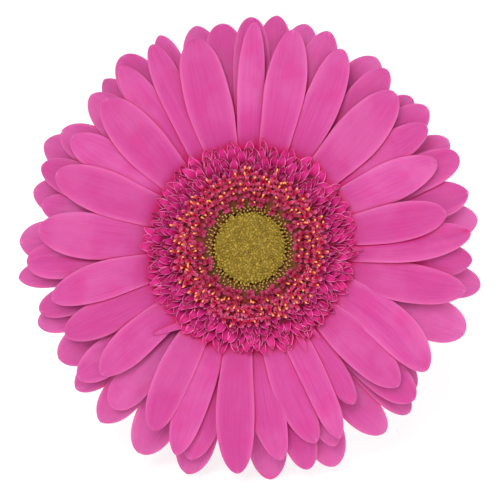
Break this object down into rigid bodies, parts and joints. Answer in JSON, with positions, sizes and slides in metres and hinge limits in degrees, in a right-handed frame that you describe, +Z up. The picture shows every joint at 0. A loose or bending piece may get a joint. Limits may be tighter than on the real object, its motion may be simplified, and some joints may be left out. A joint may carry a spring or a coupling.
{
  "type": "cut gerbera flower",
  "caption": "Cut gerbera lying on a surface: flat pink daisy bloom with strap petals in overlapping rows, a frilled ring of small florets, a green centre and a bare stem.",
  "frame": {"origin": "bottom centre of the whole flower's bounding box as it lies, on the surface it rests on", "axes": "+Z up, -Y is where the bloom faces (tilted 15 degrees up), +Y runs back along the stem to its cut end, +X is the bloom's right side seen from the front"},
  "size_m": [0.1118, 0.2475, 0.1092],
  "materials": {
    "petal_pink": "satin",
    "trans_floret_pink": "satin",
    "disc_floret_pink": "satin",
    "bud_green": "matte",
    "receptacle_green": "matte",
    "bract_green": "matte",
    "stem_green": "satin"
  },
  "bodies": {
    "root": {"disc_buds": "bud_green", "involucre_inner_bracts": "bract_green", "involucre_outer_bracts": "bract_green", "open_disc_florets": "disc_floret_pink", "ray_floret_front_01": "petal_pink", "ray_floret_front_02": "petal_pink", "ray_floret_front_03": "petal_pink", "ray_floret_front_04": "petal_pink", "ray_floret_front_05": "petal_pink", "ray_floret_front_06": "petal_pink", "ray_floret_front_07": "petal_pink", "ray_floret_front_08": "petal_pink", "ray_floret_front_09": "petal_pink", "ray_floret_front_10": "petal_pink", "ray_floret_front_11": "petal_pink", "ray_floret_front_12": "petal_pink", "ray_floret_front_13": "petal_pink", "ray_floret_front_14": "petal_pink", "ray_floret_front_15": "petal_pink", "ray_floret_front_16": "petal_pink", "ray_floret_front_17": "petal_pink", "ray_floret_front_18": "petal_pink", "ray_floret_front_19": "petal_pink", "ray_floret_front_20": "petal_pink", "ray_floret_front_21": "petal_pink", "ray_floret_front_22": "petal_pink", "ray_floret_front_23": "petal_pink", "ray_floret_front_24": "petal_pink", "ray_floret_front_25": "petal_pink", "ray_floret_front_26": "petal_pink", "ray_floret_front_27": "petal_pink", "ray_floret_front_28": "petal_pink", "ray_floret_middle_01": "petal_pink", "ray_floret_middle_02": "petal_pink", "ray_floret_middle_03": "petal_pink", "ray_floret_middle_04": "petal_pink", "ray_floret_middle_05": "petal_pink", "ray_floret_middle_06": "petal_pink", "ray_floret_middle_07": "petal_pink", "ray_floret_middle_08": "petal_pink", "ray_floret_middle_09": "petal_pink", "ray_floret_middle_10": "petal_pink", "ray_floret_middle_11": "petal_pink", "ray_floret_middle_12": "petal_pink", "ray_floret_middle_13": "petal_pink", "ray_floret_middle_14": "petal_pink", "ray_floret_middle_15": "petal_pink", "ray_floret_middle_16": "petal_pink", "ray_floret_middle_17": "petal_pink", "ray_floret_middle_18": "petal_pink", "ray_floret_middle_19": "petal_pink", "ray_floret_middle_20": "petal_pink", "ray_floret_middle_21": "petal_pink", "ray_floret_middle_22": "petal_pink", "ray_floret_middle_23": "petal_pink", "ray_florets_outer_row": "petal_pink", "receptacle": "receptacle_green", "stem": "stem_green", "trans_florets_inner": "trans_floret_pink", "trans_florets_outer": "trans_floret_pink"}
  },
  "joints": []
}
